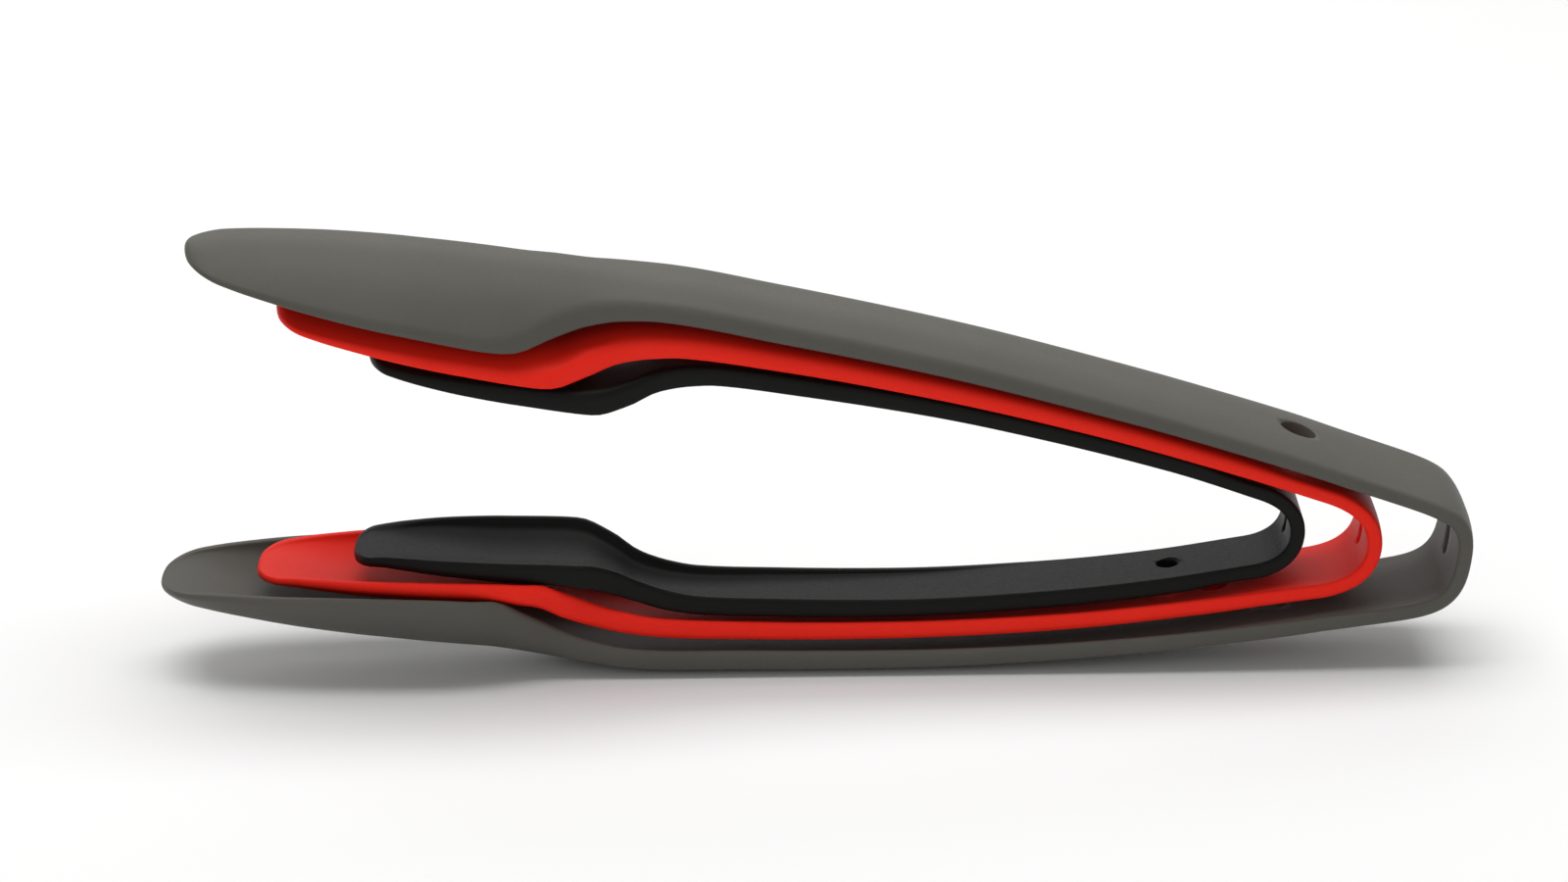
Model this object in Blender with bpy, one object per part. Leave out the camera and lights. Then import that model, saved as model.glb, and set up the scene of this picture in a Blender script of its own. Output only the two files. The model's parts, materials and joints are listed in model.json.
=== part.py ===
"""Set of three nested spring tongs: a grey, a red and a black one, each a silicone skin
over a one-piece spring steel core.  Metres, Z up, tips towards -X, bends towards +X."""
import math

import bmesh
import bpy
from mathutils import Matrix, Vector

MM = 0.001

# Places along a tong are shares of its length, from the tips to the back of the bend.
CORE_START = 0.085              # the steel starts this far from the tip
TURN = (0.78, 0.955)            # over this stretch the wall turns square to the path

# Width over the sides, as a share of the arm width.
WIDTH = ((0.0, 0.30), (0.006, 0.66), (0.02, 0.93), (0.05, 1.16), (0.10, 1.39), (0.16, 1.49),
         (0.23, 1.51), (0.27, 1.25), (0.31, 0.99), (0.36, 0.98), (0.60, 1.0), (0.90, 1.06), (1.0, 1.06))
# Depth from the rim to the crown beyond the bend thickness, in mm for the grey tong.
DEPTH = ((0.0, -1.4), (0.03, 3.0), (0.08, 6.6), (0.16, 10.6), (0.22, 11.6), (0.27, 10.4), (0.31, 6.8),
         (0.36, 4.2), (0.45, 3.4), (0.60, 2.5), (0.72, 1.9), (0.86, 1.0), (0.95, 0.0), (1.0, 0.0))
# Share of that depth that is hollow.
HOLLOW = ((0.0, 0.0), (0.03, 0.28), (0.08, 0.58), (0.16, 0.74), (0.28, 0.72), (0.36, 0.58),
          (0.60, 0.46), (0.80, 0.30), (0.90, 0.08), (0.93, 0.0), (1.0, 0.0))
# Roundness of the section: 2 is an ellipse, more is boxier.
BOXY = ((0.0, 2.2), (0.25, 2.4), (0.38, 3.4), (1.0, 4.0))

BEND_THICK = 3.8                # strip thickness at the bend, all three
RIM_THICK = 2.0                 # wall thickness at the open edge
CORE_THICK = 0.6                # spring steel
FIT_GAP = 0.3                   # between steel and silicone
SLOT_WALL = 0.8                 # silicone around holes and slots
BELLY = (0.44, 0.60)            # stretch of each arm that is flat; the grey one rests on it

# Rim height above the mid-plane: (share, mm).
GREY_RIM = ((0.0, 39.7), (0.03, 37.4), (0.08, 35.1), (0.16, 32.4), (0.25, 30.8), (0.28, 33.5),
            (0.304, 35.9), (0.33, 37.7), (0.36, 38.7), (0.45, 37.2), (0.58, 33.5), (0.72, 27.2),
            (0.85, 19.3), (0.955, 11.6))
RED_RIM = ((0.0, 31.6), (0.03, 29.9), (0.08, 28.3), (0.16, 26.1), (0.245, 24.6), (0.275, 27.1),
           (0.302, 30.0), (0.33, 31.6), (0.36, 32.3), (0.45, 31.1), (0.58, 27.9), (0.72, 22.8),
           (0.85, 16.0), (0.955, 9.4))
BLACK_RIM = ((0.0, 23.5), (0.03, 21.8), (0.08, 20.6), (0.16, 19.3), (0.24, 18.4), (0.273, 20.2),
             (0.302, 23.2), (0.335, 25.1), (0.365, 25.8), (0.45, 24.9), (0.58, 22.7), (0.72, 18.5),
             (0.85, 13.2), (0.955, 7.5))

TONGS = (
    {"name": "grey", "length": 300.0, "arm": 28.5, "deep": 1.0, "rim": GREY_RIM,
     "back": 129.4, "rise": -0.4, "tilt": 0.0, "cut": 0.885, "hinge": 88.0, "core": 18.0,
     "hole": 8.5, "hole_at": 0.853, "slot": (10.0, 3.4), "colour": (0.150, 0.147, 0.135)},
    {"name": "red", "length": 257.5, "arm": 24.6, "deep": 0.46, "rim": RED_RIM,
     "back": 108.6, "rise": -0.5, "tilt": -0.55, "cut": 0.905, "hinge": 83.0, "core": 15.0,
     "hole": 7.6, "hole_at": 0.855, "slot": (7.0, 3.0), "colour": (0.640, 0.022, 0.010)},
    {"name": "black", "length": 217.5, "arm": 21.2, "deep": 0.22, "rim": BLACK_RIM,
     "back": 90.3, "rise": -0.5, "tilt": -1.0, "cut": 0.930, "hinge": 80.0, "core": 12.0,
     "hole": 5.0, "hole_at": 0.862, "slot": (5.4, 2.6), "colour": (0.012, 0.012, 0.011)},
)
STATIONS = (0.0, 0.006, 0.02, 0.05, 0.08, 0.12, 0.16, 0.20, 0.24, 0.262, 0.285, 0.31, 0.335, 0.36,
            0.40, 0.44, 0.52, 0.60, 0.66, 0.72, 0.78, 0.83, 0.86)
CORE_STATIONS = (0.12, 0.16, 0.20, 0.24, 0.27, 0.30, 0.33, 0.36, 0.40, 0.44, 0.52, 0.60, 0.68,
                 0.76, 0.83)
ACROSS = (-1.0, -0.94, -0.76, -0.40, 0.0, 0.40, 0.76, 0.94, 1.0)
CORE_ACROSS = (-1.0, 0.0, 1.0)
BEND_STEPS = 7                  # rings from the straight strip to the back of the bend


def smooth(table, s):
    """Value of a table at s, joined by a smooth curve that does not overshoot."""
    xs = [row[0] for row in table]
    ys = [row[1] for row in table]
    if s <= xs[0]:
        return ys[0]
    if s >= xs[-1]:
        return ys[-1]
    k = max(i for i in range(len(xs) - 1) if xs[i] <= s)
    rise = [(ys[i + 1] - ys[i]) / (xs[i + 1] - xs[i]) for i in range(len(xs) - 1)]

    def slope(i):
        if i == 0:
            return rise[0]
        if i == len(rise):
            return rise[-1]
        if rise[i - 1] * rise[i] <= 0.0:
            return 0.0
        return 2.0 * rise[i - 1] * rise[i] / (rise[i - 1] + rise[i])

    h = xs[k + 1] - xs[k]
    t = (s - xs[k]) / h
    start = ys[k] * (1 + 2 * t) * (1 - t) ** 2 + slope(k) * h * t * (1 - t) ** 2
    end = ys[k + 1] * t * t * (3 - 2 * t) + slope(k + 1) * h * t * t * (t - 1)
    return start + end


def step(t):
    """Smooth step from 0 to 1."""
    t = min(1.0, max(0.0, t))
    return t * t * (3 - 2 * t)


def extra_depth(tong, s):
    """Depth of the section beyond the bend thickness, mm."""
    return smooth(DEPTH, s) * tong["deep"]


def depth(tong, s):
    """Height from the rim to the crown, mm."""
    return BEND_THICK + extra_depth(tong, s)


def hollow(tong, s):
    """Height from the rim to the underside of the crown, mm."""
    return depth(tong, s) * smooth(HOLLOW, s)


def half_width(tong, s):
    """Half the width over the sides, mm."""
    return tong["arm"] * smooth(WIDTH, s) / 2


def arch(v, power):
    """Height of the rounded section across its half width, 1 at the middle."""
    return max(0.0, 1.0 - min(1.0, abs(v)) ** power) ** (1.0 / power)


def outer_height(tong, s, y):
    """Height of the outer face above the rim at the distance y from the middle, mm."""
    return depth(tong, s) * arch(y / half_width(tong, s), smooth(BOXY, s))


def inner_height(tong, s, y):
    """Height of the inner face above the rim at the distance y from the middle, mm."""
    return hollow(tong, s) * arch(y / (half_width(tong, s) - RIM_THICK), smooth(BOXY, s))


def bend_point(tong, t):
    """Inner face of the bend at t, and its outward normal; t = 0 at the strip, 1 at the back."""
    start = TURN[1]
    length = tong["length"]
    x0 = start * length
    z0 = smooth(tong["rim"], start)
    fall = turn_angle(tong)
    x3 = length - BEND_THICK
    reach = 0.42 * (x3 - x0)
    points = ((x0, z0), (x0 + reach * math.cos(fall), z0 - reach * math.sin(fall)),
              (x3, 0.60 * z0), (x3, 0.0))
    weights = ((1 - t) ** 3, 3 * t * (1 - t) ** 2, 3 * t * t * (1 - t), t ** 3)
    place = [sum(w * p[i] for w, p in zip(weights, points)) for i in (0, 1)]
    pulls = (3 * (1 - t) ** 2, 6 * t * (1 - t), 3 * t * t)
    way = [sum(w * (points[k + 1][i] - points[k][i]) for k, w in enumerate(pulls)) for i in (0, 1)]
    size = math.hypot(way[0], way[1])
    return place[0], place[1], -way[1] / size, way[0] / size


def turn_angle(tong):
    """Slope of the strip where it enters the bend, radians."""
    start = TURN[1]
    fall = smooth(tong["rim"], start - 0.02) - smooth(tong["rim"], start)
    return math.atan2(fall, 0.02 * tong["length"])


def path(tong, s):
    """Point x, z on the inner face of the upper arm at s and the direction of its wall."""
    if s > TURN[1]:
        return bend_point(tong, (s - TURN[1]) / (1.0 - TURN[1]))
    lean = turn_angle(tong) * step((s - TURN[0]) / (TURN[1] - TURN[0]))
    return s * tong["length"], smooth(tong["rim"], s), math.sin(lean), math.cos(lean)


def belly_line(tong):
    """The straight line along the crown between the two ends of the belly: x, z, slope."""
    ends = [(s * tong["length"], smooth(tong["rim"], s) + depth(tong, s)) for s in BELLY]
    slope = (ends[1][1] - ends[0][1]) / (ends[1][0] - ends[0][0])
    return ends[0][0], ends[0][1], slope


def surface(tong, s, y, height, side):
    """Point on an arm, mm in the tong's own frame; side is +1 for the upper arm."""
    x, z, nx, nz = path(tong, s)
    x += nx * height
    z += nz * height
    bx, bz, slope = belly_line(tong)
    if BELLY[0] - 0.05 < s < BELLY[1] + 0.05:
        z = min(z, bz + slope * (x - bx))
    return Vector((x, y, side * z))


PITCH = math.atan(-belly_line(TONGS[0])[2])     # the grey belly lies level
FLOOR = belly_line(TONGS[0])
CENTRE = 22.9                   # mm, puts the middle of the set over the origin


def place(tong, point):
    """A point of a tong's own frame, mm, put in the world, metres."""
    angle = PITCH + math.radians(tong["tilt"])
    x = point.x - tong["length"] + tong["back"]
    moved = Vector((x * math.cos(angle) + point.z * math.sin(angle), point.y,
                    -x * math.sin(angle) + point.z * math.cos(angle) + tong["rise"]))
    belly_x = FLOOR[0] - TONGS[0]["length"] + TONGS[0]["back"]
    drop = -belly_x * math.sin(PITCH) - FLOOR[1] * math.cos(PITCH) + TONGS[0]["rise"]
    return Vector((moved.x + CENTRE, moved.y, moved.z - drop)) * MM


def skin_ring(tong, s, side):
    """Closed outline of the silicone at s: over the outside, back along the inside."""
    half = half_width(tong, s)
    outside = [surface(tong, s, v * half, outer_height(tong, s, v * half), side) for v in ACROSS]
    inner = half - RIM_THICK
    inside = [surface(tong, s, v * inner, inner_height(tong, s, v * inner), side)
              for v in reversed(ACROSS)]
    return outside + inside


def core_ring(tong, s, side, grow):
    """Closed outline of the steel strip in the middle of the wall, grown all round by grow."""
    half = tong["core"] / 2 + grow
    thick = CORE_THICK / 2 + grow
    rows = []
    for v in CORE_ACROSS:
        y = v * half
        middle = (outer_height(tong, s, y) + inner_height(tong, s, y)) / 2
        rows.append((y, middle))
    over = [surface(tong, s, y, h + thick, side) for y, h in rows]
    under = [surface(tong, s, y, h - thick, side) for y, h in reversed(rows)]
    return over + under


def loft(name, rings):
    """A closed body through a row of matching outlines."""
    mesh = bpy.data.meshes.new(name)
    work = bmesh.new()
    rows = [[work.verts.new(point) for point in ring] for ring in rings]
    count = len(rows[0])
    for a, b in zip(rows[:-1], rows[1:]):
        for i in range(count):
            j = (i + 1) % count
            work.faces.new((a[i], a[j], b[j], b[i]))
    work.faces.new(rows[0])
    work.faces.new(list(reversed(rows[-1])))
    bmesh.ops.remove_doubles(work, verts=work.verts, dist=0.00001)
    bmesh.ops.recalc_face_normals(work, faces=work.faces)
    work.to_mesh(mesh)
    work.free()
    body = bpy.data.objects.new(name, mesh)
    bpy.context.scene.collection.objects.link(body)
    return body


def arm_stations(tong, first):
    """Places of the outlines of one arm, up to the cut where the bend begins."""
    return [s for s in first if s < tong["cut"] - 0.01] + [tong["cut"]]


def bend_rings(tong, start, outline):
    """Outlines round the whole bend, from the upper strip to the lower one."""
    straight = [start, (start + TURN[1]) / 2, TURN[1]]
    curved = [TURN[1] + (1.0 - TURN[1]) * k / BEND_STEPS for k in range(1, BEND_STEPS + 1)]
    upper = [outline(s, 1) for s in straight + curved]
    lower = [outline(s, -1) for s in reversed(straight + curved[:-1])]
    return upper + lower


def build(tong, name, rings):
    """A body from outlines given in the tong's own frame."""
    return loft(name, [[place(tong, point) for point in ring] for ring in rings])


def hide(body):
    """Keep a cutting body out of the finished part."""
    body.hide_render = True
    body.display_type = "WIRE"
    return body


def take_away(body, cutter):
    """Cut one body out of another."""
    cut = body.modifiers.new("cut_" + cutter.name, "BOOLEAN")
    cut.operation = "DIFFERENCE"
    cut.solver = "EXACT"
    cut.object = cutter


def round_cutter(tong, name, radius, side):
    """A round bar square through an arm at its hanging hole."""
    x, z, nx, nz = path(tong, tong["hole_at"])
    rings = []
    for reach in (-6.0, 12.0):
        ring = []
        for k in range(20):
            turn = 2 * math.pi * k / 20
            along = radius * math.cos(turn)
            ring.append(Vector((x + nx * reach + nz * along, radius * math.sin(turn),
                                side * (z + nz * reach - nx * along))))
        rings.append(ring)
    return hide(build(tong, name, rings))


def slot_cutter(tong, name, grow):
    """A bar with rounded ends through the back of the bend."""
    tall, wide = tong["slot"]
    radius = wide / 2 + grow
    shift = tall / 2 - wide / 2
    rings = []
    for x in (tong["length"] - 12.0, tong["length"] + 4.0):
        ring = []
        for k in range(20):
            turn = math.pi * (k + 0.5) / 10
            lift = shift if math.sin(turn) > 0 else -shift
            ring.append(Vector((x, radius * math.cos(turn), radius * math.sin(turn) + lift)))
        rings.append(ring)
    return hide(build(tong, name, rings))


def silicone(name, colour):
    """Matt soft-touch silicone."""
    made = bpy.data.materials.new(name)
    made.use_nodes = True
    shader = made.node_tree.nodes["Principled BSDF"]
    shader.inputs["Base Color"].default_value = (colour[0], colour[1], colour[2], 1.0)
    shader.inputs["Roughness"].default_value = 0.55
    shader.inputs["Metallic"].default_value = 0.0
    return made


def steel(name):
    """Rolled spring steel."""
    made = bpy.data.materials.new(name)
    made.use_nodes = True
    shader = made.node_tree.nodes["Principled BSDF"]
    shader.inputs["Base Color"].default_value = (0.42, 0.43, 0.45, 1.0)
    shader.inputs["Roughness"].default_value = 0.35
    shader.inputs["Metallic"].default_value = 1.0
    return made


def finish(body, material, origin):
    """Give a body its material, smooth shading and origin."""
    body.data.materials.append(material)
    body.data.transform(Matrix.Translation(-origin))
    body.location = origin
    body.data.shade_smooth()


def make_arm(tong, part, side, skin_look, core_look, origin):
    """Silicone skin and steel core of one arm."""
    stem = tong["name"] + "_" + part
    stations = arm_stations(tong, STATIONS)
    inside = [CORE_START] + arm_stations(tong, CORE_STATIONS)
    skin = build(tong, stem + "_skin", [skin_ring(tong, s, side) for s in stations])
    core = build(tong, stem + "_core", [core_ring(tong, s, side, 0.0) for s in inside])
    past = [CORE_START - FIT_GAP / tong["length"]] + inside[1:-1] + [tong["cut"] + 0.004]
    pocket = hide(build(tong, stem + "_pocket", [core_ring(tong, s, side, FIT_GAP) for s in past]))
    radius = tong["hole"] / 2
    take_away(pocket, round_cutter(tong, stem + "_land", radius + SLOT_WALL, side))
    take_away(skin, pocket)
    take_away(skin, round_cutter(tong, stem + "_hole", radius, side))
    take_away(core, round_cutter(tong, stem + "_wide_hole", radius + SLOT_WALL + FIT_GAP, side))
    finish(skin, skin_look, origin)
    finish(core, core_look, origin)


def make_bend(tong, skin_look, core_look, origin):
    """Silicone skin and steel core of the springy bend."""
    stem = tong["name"] + "_bend"
    start = tong["cut"] + FIT_GAP / tong["length"]
    skin = build(tong, stem + "_skin",
                 bend_rings(tong, start, lambda s, side: skin_ring(tong, s, side)))
    core = build(tong, stem + "_core",
                 bend_rings(tong, start, lambda s, side: core_ring(tong, s, side, 0.0)))
    pocket = hide(build(tong, stem + "_pocket",
                        bend_rings(tong, tong["cut"] - 0.004,
                                   lambda s, side: core_ring(tong, s, side, FIT_GAP))))
    take_away(pocket, slot_cutter(tong, stem + "_land", SLOT_WALL))
    take_away(skin, pocket)
    take_away(skin, slot_cutter(tong, stem + "_slot", 0.0))
    take_away(core, slot_cutter(tong, stem + "_wide_slot", SLOT_WALL + FIT_GAP))
    finish(skin, skin_look, origin)
    finish(core, core_look, origin)


def make_tong(tong, core_look):
    """All the bodies of one tong."""
    skin_look = silicone(tong["name"] + "_silicone", tong["colour"])
    pivot = Vector((tong["length"] - tong["back"] + tong["hinge"], 0.0, 0.0))
    origin = place(tong, pivot)
    make_arm(tong, "lower", -1, skin_look, core_look, origin)
    make_arm(tong, "upper", 1, skin_look, core_look, origin)
    make_bend(tong, skin_look, core_look, origin)


for old in list(bpy.data.objects):
    bpy.data.objects.remove(old, do_unlink=True)
spring_steel = steel("spring_steel")
for each in TONGS:
    make_tong(each, spring_steel)
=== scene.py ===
"""Set of three nested spring tongs on a pale studio floor: a grey, a red and a black one.
Each is one silicone skin over one strip of spring steel, and both flex at the bend."""
import json
import math

import bmesh
import bpy
from mathutils import Matrix, Vector


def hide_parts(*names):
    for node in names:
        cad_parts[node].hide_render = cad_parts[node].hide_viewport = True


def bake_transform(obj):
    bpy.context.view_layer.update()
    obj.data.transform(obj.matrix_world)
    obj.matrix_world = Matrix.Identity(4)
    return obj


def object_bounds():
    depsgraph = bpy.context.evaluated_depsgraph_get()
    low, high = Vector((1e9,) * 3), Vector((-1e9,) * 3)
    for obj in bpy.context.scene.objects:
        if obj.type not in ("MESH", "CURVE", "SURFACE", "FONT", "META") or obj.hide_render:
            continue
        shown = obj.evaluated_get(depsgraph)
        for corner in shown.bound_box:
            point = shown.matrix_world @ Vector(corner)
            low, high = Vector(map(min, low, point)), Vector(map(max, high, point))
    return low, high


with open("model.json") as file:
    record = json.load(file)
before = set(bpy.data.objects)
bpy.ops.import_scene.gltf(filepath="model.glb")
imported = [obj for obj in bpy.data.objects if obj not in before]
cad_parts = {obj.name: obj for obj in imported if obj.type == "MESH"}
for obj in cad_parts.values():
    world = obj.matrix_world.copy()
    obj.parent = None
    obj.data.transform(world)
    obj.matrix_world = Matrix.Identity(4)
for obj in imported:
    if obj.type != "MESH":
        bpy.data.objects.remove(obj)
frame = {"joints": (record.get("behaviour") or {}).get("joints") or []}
cad_low, cad_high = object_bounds()

MM = 0.001
FRONT, HEIGHT = -2.32, 21.0         # where the camera stands, degrees round and above
AIM = Vector((-0.0070, 0.0, 0.0530))
CAMERA_AWAY = 1.437

# Places along a tong are shares of its length, from the tips to the back of the bend.
PITCH = 6.6795                      # degrees, lays the flat belly of the grey tong level
CORE_START = 0.085
TURN = 0.78                         # from here to the bend the wall turns square to the path
STRIP_FROM, STRIP_TO = 0.86, 1.0    # the arm passes into the plain strip of the bend
NECK_FROM, NECK_TO = 0.25, 0.45     # the side wall passes from its head to its arm height
FLARE_FROM, FLARE_TO = 0.5, 0.9     # the arm gets wider or narrower towards the bend
TIP_EDGE = 1.3                      # mm, rounding of the edge at the very tip

# Half width over the sides, as a share of half the arm width.
WIDTH = ((0.0, 0.97), (0.02, 1.0), (0.05, 1.17), (0.10, 1.39), (0.16, 1.49), (0.23, 1.51),
         (0.27, 1.25), (0.31, 0.99), (0.36, 0.98), (0.60, 1.0), (1.0, 1.0))
# Share of the height that is hollow. The black arms are flat inside.
HOLLOW = ((0.0, 0.0), (0.03, 0.28), (0.08, 0.56), (0.16, 0.72), (0.28, 0.70), (0.36, 0.55),
          (0.60, 0.44))
GREY_HOLLOW = HOLLOW + ((0.78, 0.36), (0.84, 0.18), (0.87, 0.14), (0.92, 0.05), (0.95, 0.0),
                        (1.0, 0.0))
RED_HOLLOW = HOLLOW + ((0.80, 0.34), (0.90, 0.12), (0.94, 0.0), (1.0, 0.0))
BLACK_HOLLOW = HOLLOW[:-1] + ((0.60, 0.25), (0.75, 0.0), (1.0, 0.0))
# Height of the upright side wall, mm, and how the face above it curves: 2 is a parabola.
WALL = ((0.0, 1.1), (0.03, 1.5), (0.08, 2.2), (0.16, 3.1), (0.22, 3.6), (0.245, 4.5),
        (0.275, 6.2), (0.31, 5.5), (0.36, 4.4), (0.45, 3.9), (0.80, 3.5), (0.93, 3.3), (1.0, 3.3))
CURVE = ((0.0, 2.2), (0.25, 2.4), (0.38, 2.8), (1.0, 2.8))
HOLLOW_CURVE = ((0.0, 2.2), (0.25, 2.4), (0.38, 3.4), (1.0, 4.0))
# Soft edge between the face and the side wall, mm.
EDGE = ((0.0, 1.2), (0.10, 2.6), (0.24, 2.6), (0.34, 1.8), (0.80, 1.5), (0.95, 1.1), (1.0, 1.0))

RIM = 2.0                           # wall thickness at the open edge, mm
RIM_EDGE, RIM_TALL = 1.0, 1.7       # rounding of the rim across and upwards, mm
CORE_THICK = 0.6                    # spring steel, mm
FIT_GAP = 0.3                       # between steel and silicone, mm
SLOT_WALL = 0.8                     # silicone round holes and slots, mm
HOLE_LIP = 0.45                     # rounding where holes meet the faces, mm
SLOT_LIP = 0.35
CUTTER_PAST = 6.0                   # how far a cutter goes past the face, mm
HOLE_BAR, SLOT_BAR = (-8.0, 16.0), (-8.0, 12.0)     # ends of the plain cutters, mm

# How finely the bodies are divided. Counts of stations: at the tip, along the arm, round the bend.
SKIN_COUNTS = (16, 104, 34)
CORE_COUNTS = (8, 60, 20)
CORE_TIP = 0.03                     # stretch of the close stations at the end of the steel
FACE_STEPS, HOLLOW_STEPS, CORE_STEPS = 14, 16, 8
CORNER_STEPS, LIP_STEPS, CUTTER_SIDES = 6, 5, 48
MERGE = 0.003 * MM                  # points nearer than this are one

# Rim height above the mid-plane: (share, mm).
GREY_RIM = ((0.0, 39.7), (0.03, 37.4), (0.08, 35.1), (0.16, 32.1), (0.25, 30.2), (0.28, 33.8),
            (0.304, 36.9), (0.33, 39.1), (0.36, 40.0), (0.45, 37.7), (0.58, 33.5), (0.72, 26.9),
            (0.85, 18.9), (0.955, 11.15))
RED_RIM = ((0.0, 31.0), (0.03, 29.2), (0.08, 27.6), (0.16, 25.4), (0.245, 24.0), (0.275, 26.5),
           (0.302, 29.4), (0.33, 31.1), (0.36, 31.9), (0.45, 30.7), (0.58, 27.5), (0.72, 22.3),
           (0.85, 15.6), (0.955, 9.3))
BLACK_RIM = ((0.0, 23.5), (0.03, 21.8), (0.08, 20.6), (0.16, 19.3), (0.24, 18.4), (0.273, 20.2),
             (0.302, 23.2), (0.335, 25.1), (0.365, 25.8), (0.45, 24.9), (0.58, 22.7), (0.72, 18.5),
             (0.85, 13.2), (0.955, 7.5))
# Height of the crown above the mid-plane: (share, mm).
GREY_CROWN = ((0.0, 42.2), (0.03, 44.8), (0.08, 46.35), (0.12, 47.1), (0.16, 47.4), (0.20, 47.4),
              (0.25, 47.1), (0.30, 47.3), (0.36, 47.4), (0.45, 45.2), (0.60, 39.7), (0.72, 33.0),
              (0.85, 24.1), (0.955, 15.95), (1.0, 15.95))
RED_CROWN = ((0.0, 34.2), (0.03, 34.5), (0.08, 34.7), (0.16, 34.5), (0.22, 33.5), (0.245, 33.3),
             (0.275, 35.2), (0.302, 37.1), (0.33, 38.0), (0.36, 38.3), (0.45, 36.6), (0.58, 33.1),
             (0.72, 27.6), (0.85, 20.35), (0.955, 13.2), (1.0, 13.2))
BLACK_CROWN = ((0.0, 27.0), (0.03, 26.3), (0.08, 26.0), (0.16, 25.5), (0.24, 24.7), (0.273, 26.3),
               (0.302, 28.6), (0.335, 30.1), (0.365, 30.5), (0.45, 29.5), (0.58, 27.1),
               (0.72, 22.8), (0.85, 17.7), (0.955, 11.7), (1.0, 11.7))
# How far a stretch of both arms sits up from the mirror shape: (share, mm).
GREY_LIFT = ((0.0, 1.8), (0.10, 1.6), (0.20, 1.35), (0.27, 1.1), (0.31, 0.5), (0.38, 0.0),
             (0.62, 0.0), (0.78, 0.4), (0.86, 0.7), (0.93, 0.9), (1.0, 2.3))
RED_LIFT = ((0.0, 0.2), (0.30, 0.0), (0.70, 0.0), (0.92, 0.3), (1.0, 0.3))
BLACK_LIFT = ((0.0, 0.0), (0.75, 0.0), (0.92, 0.2), (1.0, 0.2))

# Lengths in mm, places as shares of the length, tilt in degrees. What the less plain ones say:
# arm, flare     width of the arm, and its share of that at the bend
# trim           how far the back of the bend stays short of the full length
# turn           where the arm passes into the bend, reach and round the shape of its curve
# tilt, pivot    how the tong lies in the nest, and how far the hinge is from the back
# skew           half of how far the upper tips stand out past the lower ones
# walls          height of the side wall on the head and on the arm, as shares of WALL
# tip            stretch over which the outline of the tip closes
# core           width of the steel strip
# soft           how far above and below the hinge the bend flexes
TONGS = (
    {"name": "grey", "length": 300.0, "arm": 28.5, "flare": 1.12, "strip": 4.1, "trim": 0.75,
     "rim": GREY_RIM, "crown": GREY_CROWN, "hollow": GREY_HOLLOW, "lift": GREY_LIFT,
     "turn": 0.886, "reach": 0.89, "round": 0.665, "tilt": 0.0, "pivot": 41.4, "skew": 0.7,
     "walls": (0.8, 1.0), "tip": 0.030, "hole": 8.5, "hole_at": 0.853, "slot": (10.0, 3.4),
     "core": 18.0, "soft": 10.0},
    {"name": "red", "length": 257.5, "arm": 24.6, "flare": 1.02, "strip": 3.8, "trim": 0.6,
     "rim": RED_RIM, "crown": RED_CROWN, "hollow": RED_HOLLOW, "lift": RED_LIFT,
     "turn": 0.94, "reach": 0.48, "round": 0.62, "tilt": -0.55, "pivot": 25.6, "skew": 0.35,
     "walls": (0.88, 1.0), "tip": 0.026, "hole": 7.6, "hole_at": 0.855, "slot": (7.0, 3.0),
     "core": 15.0, "soft": 8.0},
    {"name": "black", "length": 217.5, "arm": 21.2, "flare": 0.93, "strip": 3.4, "trim": 0.4,
     "rim": BLACK_RIM, "crown": BLACK_CROWN, "hollow": BLACK_HOLLOW, "lift": BLACK_LIFT,
     "turn": 0.945, "reach": 0.46, "round": 0.62, "tilt": -1.0, "pivot": 10.3, "skew": 0.25,
     "walls": (1.5, 1.2), "tip": 0.022, "hole": 5.0, "hole_at": 0.862, "slot": (5.4, 2.6),
     "core": 12.0, "soft": 7.0},
)


def make_camera():
    """A long lens, from the front and a little above."""
    around, above = math.radians(FRONT), math.radians(HEIGHT)
    way = Vector((-math.sin(around) * math.cos(above), math.cos(around) * math.cos(above),
                  -math.sin(above)))
    data = bpy.data.cameras.new("camera")
    data.lens = 144.0
    data.sensor_width = 36.0
    data.clip_start = 0.05
    data.clip_end = 30.0
    camera = bpy.data.objects.new("camera", data)
    camera.location = AIM - way * CAMERA_AWAY
    camera.rotation_mode = "QUATERNION"
    camera.rotation_quaternion = way.to_track_quat("-Z", "Y")
    bpy.context.scene.collection.objects.link(camera)
    bpy.context.scene.camera = camera


def smooth(table, s):
    """Value of a table at s, joined by a smooth curve that does not overshoot."""
    xs = [row[0] for row in table]
    ys = [row[1] for row in table]
    if s <= xs[0]:
        return ys[0]
    if s >= xs[-1]:
        return ys[-1]
    k = max(i for i in range(len(xs) - 1) if xs[i] <= s)
    rise = [(ys[i + 1] - ys[i]) / (xs[i + 1] - xs[i]) for i in range(len(xs) - 1)]

    def slope(i):
        if i == 0:
            return rise[0]
        if i == len(rise):
            return rise[-1]
        if rise[i - 1] * rise[i] <= 0.0:
            return 0.0
        return 2.0 * rise[i - 1] * rise[i] / (rise[i - 1] + rise[i])

    h = xs[k + 1] - xs[k]
    t = (s - xs[k]) / h
    start = ys[k] * (1 + 2 * t) * (1 - t) ** 2 + slope(k) * h * t * (1 - t) ** 2
    end = ys[k + 1] * t * t * (3 - 2 * t) + slope(k + 1) * h * t * t * (t - 1)
    return start + end


def passing(s, start, end):
    """Smooth step: 0 up to the start, 1 from the end on."""
    t = min(1.0, max(0.0, (s - start) / (end - start)))
    return t * t * (3 - 2 * t)


def closing(t):
    """Quarter circle: 0 at 0, 1 from 1 on."""
    t = min(1.0, max(0.0, t))
    return math.sqrt(1.0 - (1.0 - t) ** 2)


# ---- the path of an arm and its bend ----

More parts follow.
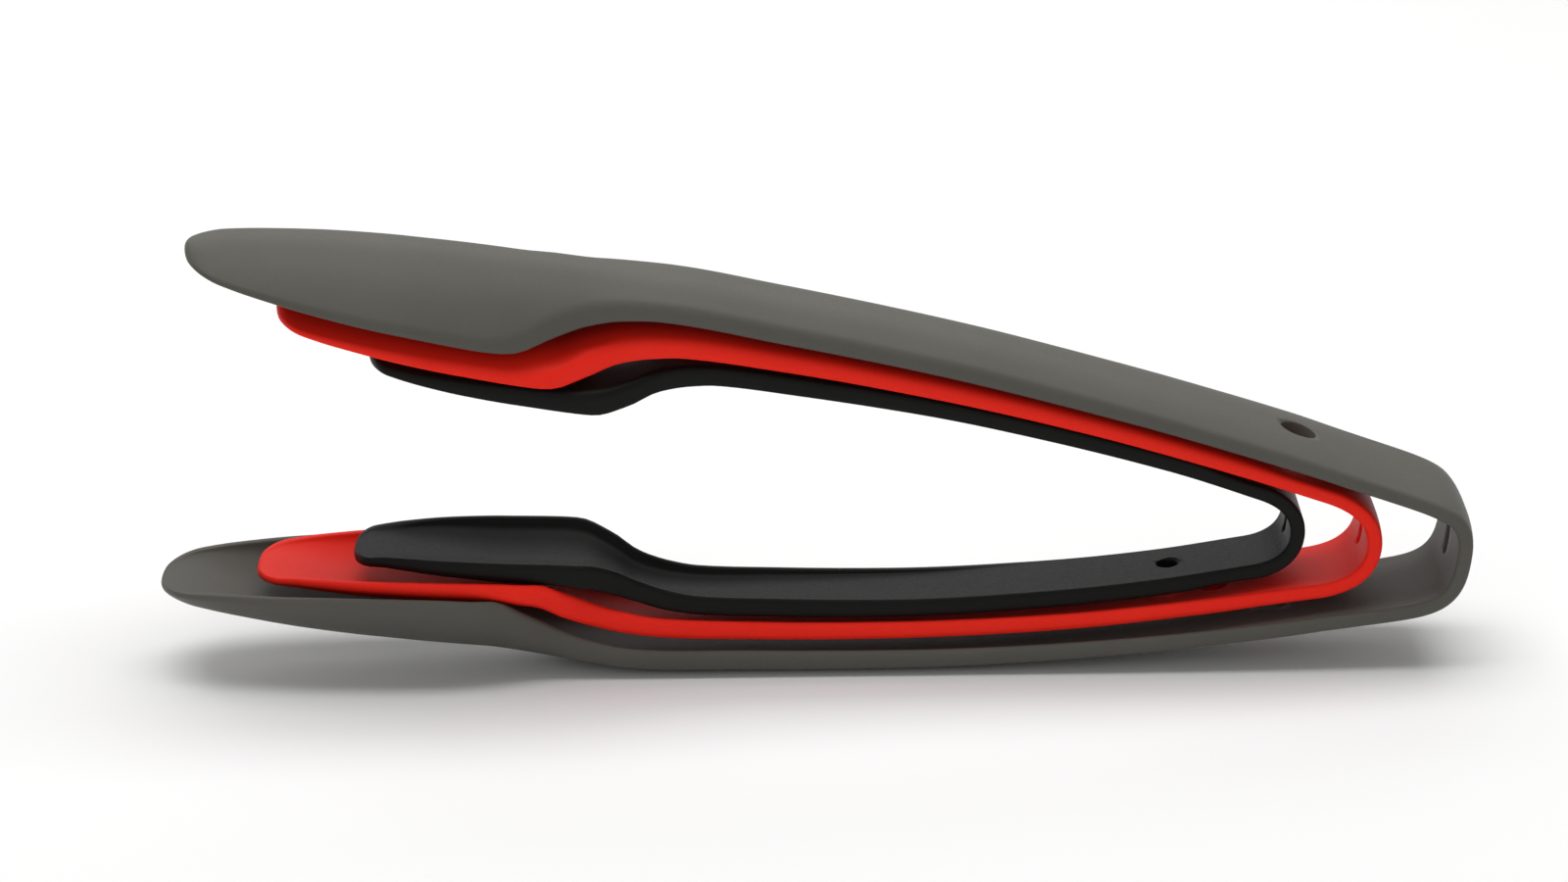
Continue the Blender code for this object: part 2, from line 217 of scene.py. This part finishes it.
def turn_angle(tong):
    """Slope of the strip where it enters the bend, radians."""
    fall = smooth(tong["rim"], tong["turn"] - 0.01) - smooth(tong["rim"], tong["turn"] + 0.01)
    return math.atan2(fall, 0.02 * tong["length"])


def bend_point(tong, t):
    """Inner face of the bend at t, and its outward normal; t = 0 at the strip, 1 at the back."""
    length = tong["length"]
    x0, z0 = tong["turn"] * length, smooth(tong["rim"], tong["turn"])
    fall = turn_angle(tong)
    x3 = length - tong["strip"] - tong["trim"]
    reach = tong["reach"] * (x3 - x0)
    points = ((x0, z0), (x0 + reach * math.cos(fall), z0 - reach * math.sin(fall)),
              (x3, tong["round"] * z0), (x3, 0.0))
    weights = ((1 - t) ** 3, 3 * t * (1 - t) ** 2, 3 * t * t * (1 - t), t ** 3)
    pulls = (3 * (1 - t) ** 2, 6 * t * (1 - t), 3 * t * t)
    place = [sum(w * p[i] for w, p in zip(weights, points)) for i in (0, 1)]
    way = [sum(w * (points[k + 1][i] - points[k][i]) for k, w in enumerate(pulls)) for i in (0, 1)]
    size = math.hypot(way[0], way[1])
    return place[0], place[1], -way[1] / size, way[0] / size


def path(tong, s):
    """Point x, z on the inner face of the upper arm at s and the direction of its wall."""
    if s > tong["turn"]:
        return bend_point(tong, (s - tong["turn"]) / (1.0 - tong["turn"]))
    lean = turn_angle(tong) * passing(s, TURN, tong["turn"])
    return s * tong["length"], smooth(tong["rim"], s), math.sin(lean), math.cos(lean)


def surface(tong, s, y, height, side):
    """Point on the tong, mm in its own frame; side is +1 for the upper arm."""
    x, z, nx, nz = path(tong, s)
    x += nx * height - side * tong["skew"] * (1 - s)
    return Vector((x, y, side * (z + nz * height) + smooth(tong["lift"], s)))


def pivot_of(tong):
    """Where the frame says this tong hinges."""
    for joint in frame["joints"]:
        if joint["name"] == tong["name"] + "_squeeze":
            return Vector(joint["pos_m"])
    raise ValueError("no hinge for " + tong["name"])


def mid_turn(tong):
    """Turns the tong's own frame into the world."""
    return Matrix.Rotation(math.radians(PITCH + tong["tilt"]), 3, "Y")


def place(tong, point):
    """A point of a tong's own frame, mm, put in the world, metres."""
    from_pivot = point - Vector((tong["length"] - tong["pivot"], 0.0, 0.0))
    return pivot_of(tong) + mid_turn(tong) @ from_pivot * MM


# ---- the section of a skin ----

def depth(tong, s):
    """Height from the rim to the crown, mm."""
    arm = smooth(tong["crown"], s) - smooth(tong["rim"], s)
    return arm + (tong["strip"] - arm) * passing(s, STRIP_FROM, STRIP_TO)


def hollow(tong, s):
    """Height from the rim to the underside of the crown, mm."""
    return depth(tong, s) * smooth(tong["hollow"], s)


def half_width(tong, s):
    """Half the width over the sides, mm."""
    wider = 1.0 + (tong["flare"] - 1.0) * passing(s, FLARE_FROM, FLARE_TO)
    return tong["arm"] / 2 * smooth(WIDTH, s) * wider * closing(s / tong["tip"])


def wall(tong, s):
    """Height of the upright side wall, mm."""
    head, arm = tong["walls"]
    share = head + (arm - head) * passing(s, NECK_FROM, NECK_TO)
    return min(smooth(WALL, s) * share, depth(tong, s))


def face_height(tong, s, v):
    """Height of the outer face at the share v of the half width, mm."""
    top = depth(tong, s)
    return top - (top - wall(tong, s)) * min(1.0, abs(v)) ** smooth(CURVE, s)


def hollow_height(tong, s, y):
    """Height of the inner face at the distance y from the middle, mm."""
    half = max(0.01, half_width(tong, s) - RIM)
    power = smooth(HOLLOW_CURVE, s)
    return hollow(tong, s) * max(0.0, 1.0 - min(1.0, abs(y) / half) ** power) ** (1.0 / power)


def rounded(a, corner, b, count):
    """Points of a rounded corner, from a to b."""
    points = []
    for k in range(count + 1):
        t = k / count
        points.append(tuple(a[i] * (1 - t) ** 2 + corner[i] * 2 * t * (1 - t) + b[i] * t * t
                            for i in (0, 1)))
    return points


def half_section(tong, s):
    """Outline of one half of the skin at s: over the face, round the rim, back under it."""
    half = half_width(tong, s)
    up = wall(tong, s)
    top = depth(tong, s)
    # The roundings shrink with the section, so that they never meet at the tip.
    edge = min(smooth(EDGE, s), 0.45 * up, 0.5 * half)
    rim = min(RIM_EDGE, 0.4 * up, 0.2 * half)
    tall = min(RIM_TALL, 0.45 * up)
    inner = max(half - RIM, 0.5 * half)
    slope = -smooth(CURVE, s) * (top - up) / max(half, 0.1)
    run = edge / math.hypot(1.0, slope)
    last = 1.0 - run / max(half, 0.01)
    points = []
    for k in range(FACE_STEPS):
        v = last * k / FACE_STEPS
        points.append((half * v, face_height(tong, s, v)))
    points += rounded((half * last, face_height(tong, s, last)), (half, up), (half, up - edge),
                      CORNER_STEPS)
    points += [(half, tall + (up - edge - tall) * k / 3) for k in (2, 1)]
    points += rounded((half, tall), (half, 0.0), (half - rim, 0.0), CORNER_STEPS)
    sunk = hollow(tong, s)
    lip = min(rim, 0.5 * sunk)
    power = smooth(HOLLOW_CURVE, s)
    first = math.asin(min(1.0, (lip / sunk) ** (power / 2))) if sunk > 0.01 else 0.0
    y = inner * math.cos(first) ** (2 / power)
    points += rounded((inner + rim, 0.0), (inner, 0.0), (y, lip), 4)
    for k in range(1, HOLLOW_STEPS + 1):
        turn = first + (math.pi / 2 - first) * k / HOLLOW_STEPS
        across = inner * max(0.0, math.cos(turn)) ** (2 / power)
        points.append((across, sunk * math.sin(turn) ** (2 / power)))
    points[-1] = (0.0, sunk)
    return points


def skin_ring(tong, s, side):
    """Closed outline of the skin at s, in the world."""
    half = half_section(tong, s)
    thin = closing(s * tong["length"] / TIP_EDGE)
    middle = depth(tong, s) / 2
    ring = half + [(-y, h) for y, h in reversed(half[1:-1])]
    points = []
    for y, h in ring:
        point = place(tong, surface(tong, s, y, middle + (h - middle) * thin, side))
        point.z = max(point.z, cad_low.z)       # the belly lies flat on the floor
        points.append(point)
    return points


def core_ring(tong, s, side, grow):
    """Closed outline of the steel strip in the middle of the wall, grown all round by grow."""
    share = closing((s - CORE_START) * tong["length"] / (tong["core"] / 2))
    half = tong["core"] / 2 * share + grow
    thick = CORE_THICK / 2 + grow
    rows = []
    for k in range(CORE_STEPS + 1):
        y = half * (2 * k / CORE_STEPS - 1)
        v = abs(y) / half_width(tong, s)
        rows.append((y, (face_height(tong, s, v) + hollow_height(tong, s, y)) / 2))
    ring = [(y, h + thick) for y, h in rows] + [(y, h - thick) for y, h in reversed(rows)]
    return [place(tong, surface(tong, s, y, h, side)) for y, h in ring]


# ---- bodies ----

def loft(name, rings):
    """A closed body through a row of matching outlines."""
    work = bmesh.new()
    rows = [[work.verts.new(point) for point in ring] for ring in rings]
    count = len(rows[0])
    for a, b in zip(rows[:-1], rows[1:]):
        for i in range(count):
            j = (i + 1) % count
            work.faces.new((a[i], a[j], b[j], b[i]))
    for end in (rows[0], rows[-1]):
        if (end[0].co - end[count // 2].co).length > 0.02 * MM:
            work.faces.new(end)
    bmesh.ops.remove_doubles(work, verts=work.verts, dist=MERGE)
    bmesh.ops.dissolve_degenerate(work, edges=work.edges, dist=0.001 * MM)
    bmesh.ops.recalc_face_normals(work, faces=work.faces)
    mesh = bpy.data.meshes.new(name)
    work.to_mesh(mesh)
    work.free()
    body = bpy.data.objects.new(name, mesh)
    bpy.context.scene.collection.objects.link(body)
    return body


def whole(places, outline):
    """Outlines from the upper tip round the bend to the lower tip."""
    return [outline(s, 1) for s in places] + [outline(s, -1) for s in reversed(places[:-1])]


def stations(tong, first, end, counts):
    """Places along an arm: close together at the tip, even on the arm, close round the bend."""
    turn = tong["turn"]
    tip = [first + end * (1 - math.cos(math.pi / 2 * k / counts[0])) for k in range(counts[0] + 1)]
    arm = [first + end + (turn - first - end) * k / counts[1] for k in range(1, counts[1] + 1)]
    bend = [turn + (1 - turn) * k / counts[2] for k in range(1, counts[2] + 1)]
    return tip + arm + bend


def flare(level, away, radius, lip):
    """Steps (distance, radius) that open a hole out where it meets a face at that level."""
    steps = []
    for k in range(LIP_STEPS + 1):
        turn = math.pi / 2 * k / LIP_STEPS
        steps.append((level - away * lip * (1 - math.sin(turn)),
                      radius + lip * (1 - math.cos(turn))))
    return steps + [(level + away * CUTTER_PAST, radius + lip)]


def round_cutter(tong, radius, side, plain):
    """A round bar square through an arm at its hanging hole, opened out at both faces."""
    s = tong["hole_at"]
    if plain:
        steps = [(end, radius) for end in HOLE_BAR]
    else:
        under = flare(hollow(tong, s), -1, radius, HOLE_LIP)
        steps = list(reversed(under)) + flare(depth(tong, s), 1, radius, HOLE_LIP)
    x, z, nx, nz = path(tong, s)
    rings = []
    for height, r in steps:
        ring = []
        for k in range(CUTTER_SIDES):
            turn = 2 * math.pi * k / CUTTER_SIDES
            along = r * math.cos(turn)
            back = x + nx * height + nz * along
            up = side * (z + nz * height - nx * along) + smooth(tong["lift"], s)
            ring.append(place(tong, Vector((back, r * math.sin(turn), up))))
        rings.append(ring)
    return loft("cutter", rings)


def back_face(tong, z):
    """How far back the inner face of the bend is at the height z, mm, and its outward normal."""
    low, high = 0.0, 1.0
    for _ in range(30):
        t = (low + high) / 2
        if bend_point(tong, t)[1] > abs(z):
            low = t
        else:
            high = t
    return bend_point(tong, low)


def slot_cutter(tong, grow, plain):
    """A bar with round ends through the back of the bend, opened out at both faces."""
    tall, wide = tong["slot"]
    if plain:
        steps = [(end, 0.0) for end in SLOT_BAR]
    else:
        under = flare(0.0, -1, 0.0, SLOT_LIP)
        steps = list(reversed(under)) + flare(tong["strip"], 1, 0.0, SLOT_LIP)
    rings = []
    for reach, more in steps:
        radius = wide / 2 + grow + more
        shift = tall / 2 - wide / 2
        ring = []
        for k in range(CUTTER_SIDES):
            turn = 2 * math.pi * (k + 0.5) / CUTTER_SIDES
            y = radius * math.cos(turn)
            z = radius * math.sin(turn) + math.copysign(shift, math.sin(turn))
            x, _, nx, nz = back_face(tong, z)
            out = max(0.0, min(reach, tong["strip"])) * (1 / nx - 1) + reach
            ring.append(place(tong, Vector((x + out, y, z + smooth(tong["lift"], 1.0)))))
        rings.append(ring)
    return loft("cutter", rings)


def cut(body, cutters):
    """Cut these bodies out of the first one, and drop them."""
    for cutter in cutters:
        change = body.modifiers.new("cut", "BOOLEAN")
        change.operation = "DIFFERENCE"
        change.solver = "EXACT"
        change.object = cutter
    seen = body.evaluated_get(bpy.context.evaluated_depsgraph_get())
    mesh = bpy.data.meshes.new_from_object(seen)
    body.modifiers.clear()
    body.data = mesh
    for cutter in cutters:
        bpy.data.objects.remove(cutter, do_unlink=True)


def holes(tong, more, plain):
    """The cutters for both hanging holes and the slot, that much larger."""
    radius = tong["hole"] / 2 + more
    return [round_cutter(tong, radius, 1, plain), round_cutter(tong, radius, -1, plain),
            slot_cutter(tong, more, plain)]


def line_with(skin, pocket):
    """Make the pocket a hollow inside the skin."""
    work = bmesh.new()
    work.from_mesh(pocket.data)
    bmesh.ops.reverse_faces(work, faces=work.faces)
    work.to_mesh(pocket.data)
    work.clear()
    work.from_mesh(skin.data)
    work.from_mesh(pocket.data)
    work.to_mesh(skin.data)
    work.free()
    bpy.data.objects.remove(pocket, do_unlink=True)


def bends(tong, body, part):
    """The body stands in for the three CAD pieces of that part, which are hidden; its placement is
    baked into its mesh.
    """
    name = tong["name"]
    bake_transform(body)
    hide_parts(*[name + "_" + place + "_" + part for place in ("lower", "upper", "bend")])


def make_tong(tong, skin_look, core_look):
    """The skin and the core of one tong."""
    name = tong["name"]
    skin = loft(name + "_tong_skin", whole(stations(tong, 0.0, tong["tip"], SKIN_COUNTS),
                                           lambda s, side: skin_ring(tong, s, side)))
    cut(skin, holes(tong, 0.0, False))
    first = CORE_START - FIT_GAP / tong["length"]
    pocket = loft("pocket", whole(stations(tong, first, CORE_TIP, CORE_COUNTS),
                                  lambda s, side: core_ring(tong, s, side, FIT_GAP)))
    cut(pocket, holes(tong, SLOT_WALL, True))
    line_with(skin, pocket)
    core = loft(name + "_tong_core", whole(stations(tong, CORE_START, CORE_TIP, CORE_COUNTS),
                                           lambda s, side: core_ring(tong, s, side, 0.0)))
    cut(core, holes(tong, SLOT_WALL + FIT_GAP, True))
    for body, look in ((skin, skin_look), (core, core_look)):
        body.data.materials.clear()
        body.data.materials.append(look)
        body.data.shade_smooth()
    core.data.set_sharp_from_angle(angle=math.radians(40))
    bends(tong, skin, "skin")
    bends(tong, core, "core")


# ---- materials ----

def new_material(name):
    """A material with its nodes, links and shader."""
    made = bpy.data.materials.new(name)
    made.use_nodes = True
    tree = made.node_tree
    return made, tree, tree.nodes["Principled BSDF"]


def noise(tree, where, scale, detail):
    """A noise pattern; scale is per metre."""
    node = tree.nodes.new("ShaderNodeTexNoise")
    node.inputs["Scale"].default_value = scale
    node.inputs["Detail"].default_value = detail
    tree.links.new(where, node.inputs["Vector"])
    return node.outputs["Fac"]


def ranged(tree, value, low, high, out_low, out_high):
    """Map a value from one range to another."""
    node = tree.nodes.new("ShaderNodeMapRange")
    for name, number in (("From Min", low), ("From Max", high),
                         ("To Min", out_low), ("To Max", out_high)):
        node.inputs[name].default_value = number
    tree.links.new(value, node.inputs["Value"])
    return node.outputs["Result"]


def blended(tree, share, dark, light):
    """One colour passing into another."""
    node = tree.nodes.new("ShaderNodeMix")
    node.data_type = "RGBA"
    node.inputs["A"].default_value = (*dark, 1.0)
    node.inputs["B"].default_value = (*light, 1.0)
    tree.links.new(share, node.inputs["Factor"])
    return node.outputs["Result"]


def bump(tree, height, distance, strength, under=None):
    """A bump from a height pattern, over another bump if given."""
    node = tree.nodes.new("ShaderNodeBump")
    node.inputs["Distance"].default_value = distance
    node.inputs["Strength"].default_value = strength
    tree.links.new(height, node.inputs["Height"])
    if under is not None:
        tree.links.new(under, node.inputs["Normal"])
    return node.outputs["Normal"]


def silicone(name, dark, light, rough, shine, sheen):
    """Matt soft-touch silicone: a fine moulded grain, cloudy tone and a faint bloom."""
    made, tree, shader = new_material(name)
    where = tree.nodes.new("ShaderNodeTexCoord").outputs["Object"]
    cloud = noise(tree, where, 42.0, 4.0)
    mottle = noise(tree, where, 900.0, 3.0)
    grain = noise(tree, where, 4200.0, 2.0)
    pores = noise(tree, where, 1500.0, 4.0)
    tone = tree.nodes.new("ShaderNodeMath")
    tone.operation = "ADD"
    tree.links.new(ranged(tree, cloud, 0.3, 0.7, 0.0, 0.7), tone.inputs[0])
    tree.links.new(ranged(tree, mottle, 0.3, 0.7, 0.0, 0.3), tone.inputs[1])
    tree.links.new(blended(tree, tone.outputs[0], dark, light), shader.inputs["Base Color"])
    tree.links.new(ranged(tree, pores, 0.3, 0.7, rough - 0.05, rough + 0.05),
                   shader.inputs["Roughness"])
    soft = bump(tree, pores, 0.00006, 0.25)
    tree.links.new(bump(tree, grain, 0.00003, 0.35, soft), shader.inputs["Normal"])
    shader.inputs["Metallic"].default_value = 0.0
    shader.inputs["IOR"].default_value = 1.43
    shader.inputs["Specular IOR Level"].default_value = shine
    shader.inputs["Sheen Weight"].default_value = sheen
    shader.inputs["Sheen Roughness"].default_value = 0.45
    return made


def spring_steel():
    """Rolled strip: fine lengthwise streaks."""
    made, tree, shader = new_material("spring_steel_rolled")
    where = tree.nodes.new("ShaderNodeTexCoord").outputs["Object"]
    stretch = tree.nodes.new("ShaderNodeMapping")
    stretch.inputs["Scale"].default_value = (60.0, 5200.0, 900.0)
    tree.links.new(where, stretch.inputs["Vector"])
    streak = noise(tree, stretch.outputs["Vector"], 1.0, 5.0)
    tree.links.new(blended(tree, ranged(tree, streak, 0.3, 0.7, 0.0, 1.0), (0.36, 0.365, 0.38),
                           (0.50, 0.51, 0.53)), shader.inputs["Base Color"])
    tree.links.new(ranged(tree, streak, 0.3, 0.7, 0.26, 0.42), shader.inputs["Roughness"])
    tree.links.new(bump(tree, streak, 0.00001, 0.3), shader.inputs["Normal"])
    shader.inputs["Metallic"].default_value = 1.0
    return made


# ---- studio ----

def make_floor():
    """A plain pale floor."""
    work = bmesh.new()
    bmesh.ops.create_grid(work, x_segments=8, y_segments=8, size=4.0)
    mesh = bpy.data.meshes.new("floor")
    work.to_mesh(mesh)
    work.free()
    floor = bpy.data.objects.new("floor", mesh)
    floor.location.z = cad_low.z - 0.0001
    bpy.context.scene.collection.objects.link(floor)
    made, tree, shader = new_material("pale_floor")
    where = tree.nodes.new("ShaderNodeTexCoord").outputs["Object"]
    cloud = noise(tree, where, 1.5, 2.0)
    tree.links.new(blended(tree, cloud, (0.86, 0.86, 0.86), (0.90, 0.90, 0.90)),
                   shader.inputs["Base Color"])
    shader.inputs["Roughness"].default_value = 0.8
    shader.inputs["Specular IOR Level"].default_value = 0.1
    floor.data.materials.append(made)


def make_light(name, place, size, power, aim=(0.0, 0.0, 0.04)):
    """A soft box that faces the tongs."""
    data = bpy.data.lights.new(name, "AREA")
    data.shape = "RECTANGLE"
    data.size, data.size_y = size
    data.energy = power
    light = bpy.data.objects.new(name, data)
    light.location = place
    way = Vector(aim) - Vector(place)
    light.rotation_mode = "QUATERNION"
    light.rotation_quaternion = way.to_track_quat("-Z", "Y")
    bpy.context.scene.collection.objects.link(light)


def make_studio():
    """Soft even light, most of it from above and behind."""
    world = bpy.data.worlds.new("studio")
    bpy.context.scene.world = world
    world.use_nodes = True
    back = world.node_tree.nodes["Background"]
    back.inputs["Color"].default_value = (1.0, 0.99, 0.98, 1.0)
    back.inputs["Strength"].default_value = 0.33
    make_light("top_box", (0.0, 0.10, 1.3), (1.6, 1.0), 16.0)
    make_light("back_box", (-0.2, 1.3, 0.9), (1.8, 0.9), 6.0)
    make_light("front_fill", (-0.3, -1.3, 0.7), (1.4, 0.8), 2.2)
    bpy.context.scene.view_settings.view_transform = "Standard"


make_camera()
steel_look = spring_steel()
looks = {
    "grey": silicone("grey_soft_touch", (0.088, 0.0865, 0.0745), (0.099, 0.0965, 0.0835),
                     0.52, 0.22, 0.02),
    "red": silicone("red_soft_touch", (0.86, 0.018, 0.008), (0.92, 0.024, 0.011),
                    0.50, 0.15, 0.0),
    "black": silicone("black_soft_touch", (0.0050, 0.0050, 0.0045), (0.0070, 0.0070, 0.0064),
                      0.46, 0.15, 0.01),
}
for each in TONGS:
    make_tong(each, looks[each["name"]], steel_look)
make_floor()
make_studio()
